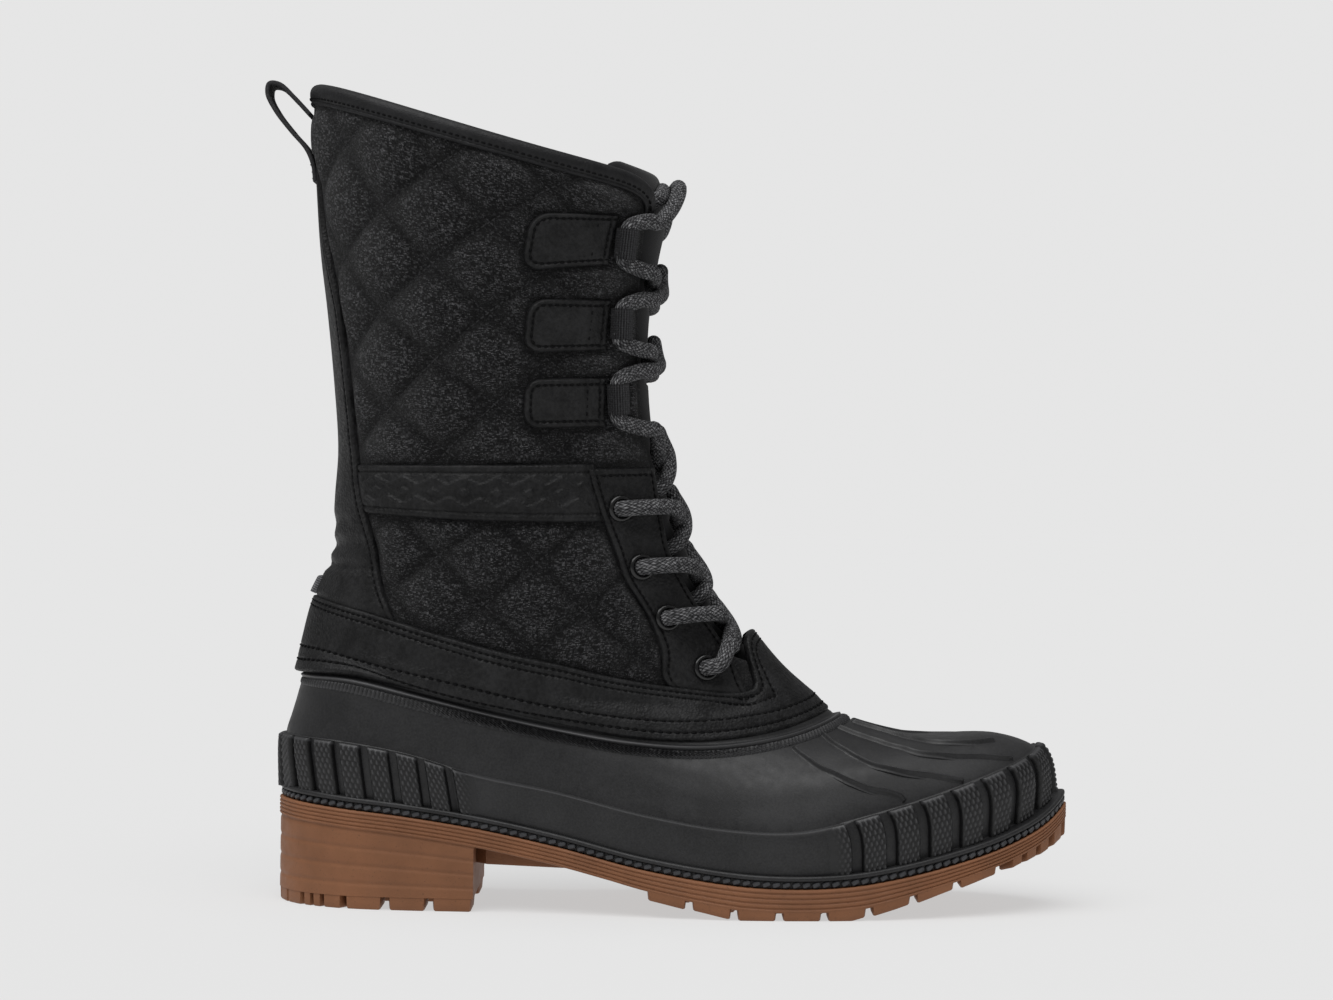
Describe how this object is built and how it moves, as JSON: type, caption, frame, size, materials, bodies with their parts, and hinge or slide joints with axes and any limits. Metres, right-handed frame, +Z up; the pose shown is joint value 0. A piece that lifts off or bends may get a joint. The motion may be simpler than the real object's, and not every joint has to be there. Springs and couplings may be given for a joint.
{
  "type": "winter boot",
  "caption": "Right winter boot with a moulded rubber foot, lugged gum sole and a tall quilted shaft laced over a tongue.",
  "frame": {"origin": "on the floor, at the flat face under the centre of the heel", "axes": "+X towards the toe, +Y towards the medial (inner) side, +Z up the shaft"},
  "size_m": [0.2902, 0.1019, 0.2911],
  "materials": {
    "gum_rubber": "matte gum-brown rubber",
    "black_rubber": "black moulded rubber with a soft sheen",
    "quilted_fabric": "charcoal flecked wool-like cloth, quilted",
    "tongue_fabric": "smooth black padded cloth",
    "felt": "dark grey felt",
    "black_leather": "black leather, softly grained",
    "binding_leather": "smooth dark rolled binding",
    "webbing": "black woven webbing",
    "black_metal": "black enamelled eyelets",
    "lace_cord": "braided grey-black flecked cord"
  },
  "bodies": {
    "root": {"outsole": "gum_rubber", "heel_block": "gum_rubber", "welt": "black_rubber", "rubber_shell": "black_rubber", "upper": "quilted_fabric", "tongue": "tongue_fabric", "insole": "felt", "leather_band": "black_leather", "backstay": "black_leather", "collar_binding": "binding_leather", "eyestay_lateral": "black_leather", "side_band_lateral": "black_leather", "lace_tab_lateral_1": "black_leather", "lace_loop_lateral_1": "webbing", "lace_tab_lateral_2": "black_leather", "lace_loop_lateral_2": "webbing", "lace_tab_lateral_3": "black_leather", "lace_loop_lateral_3": "webbing", "eyelet_lateral_1": "black_metal", "eyelet_lateral_2": "black_metal", "eyelet_lateral_3": "black_metal", "eyelet_lateral_4": "black_metal", "eyestay_medial": "black_leather", "side_band_medial": "black_leather", "lace_tab_medial_1": "black_leather", "lace_loop_medial_1": "webbing", "lace_tab_medial_2": "black_leather", "lace_loop_medial_2": "webbing", "lace_tab_medial_3": "black_leather", "lace_loop_medial_3": "webbing", "eyelet_medial_1": "black_metal", "eyelet_medial_2": "black_metal", "eyelet_medial_3": "black_metal", "eyelet_medial_4": "black_metal", "lace_crossing_1": "lace_cord", "lace_crossing_2": "lace_cord", "lace_crossing_3": "lace_cord", "lace_crossing_4": "lace_cord", "lace_crossing_5": "lace_cord", "lace_crossing_6": "lace_cord", "lace_crossing_7": "lace_cord", "lace_bar": "lace_cord", "pull_loop": "webbing", "heel_tag": "webbing"}
  },
  "joints": []
}
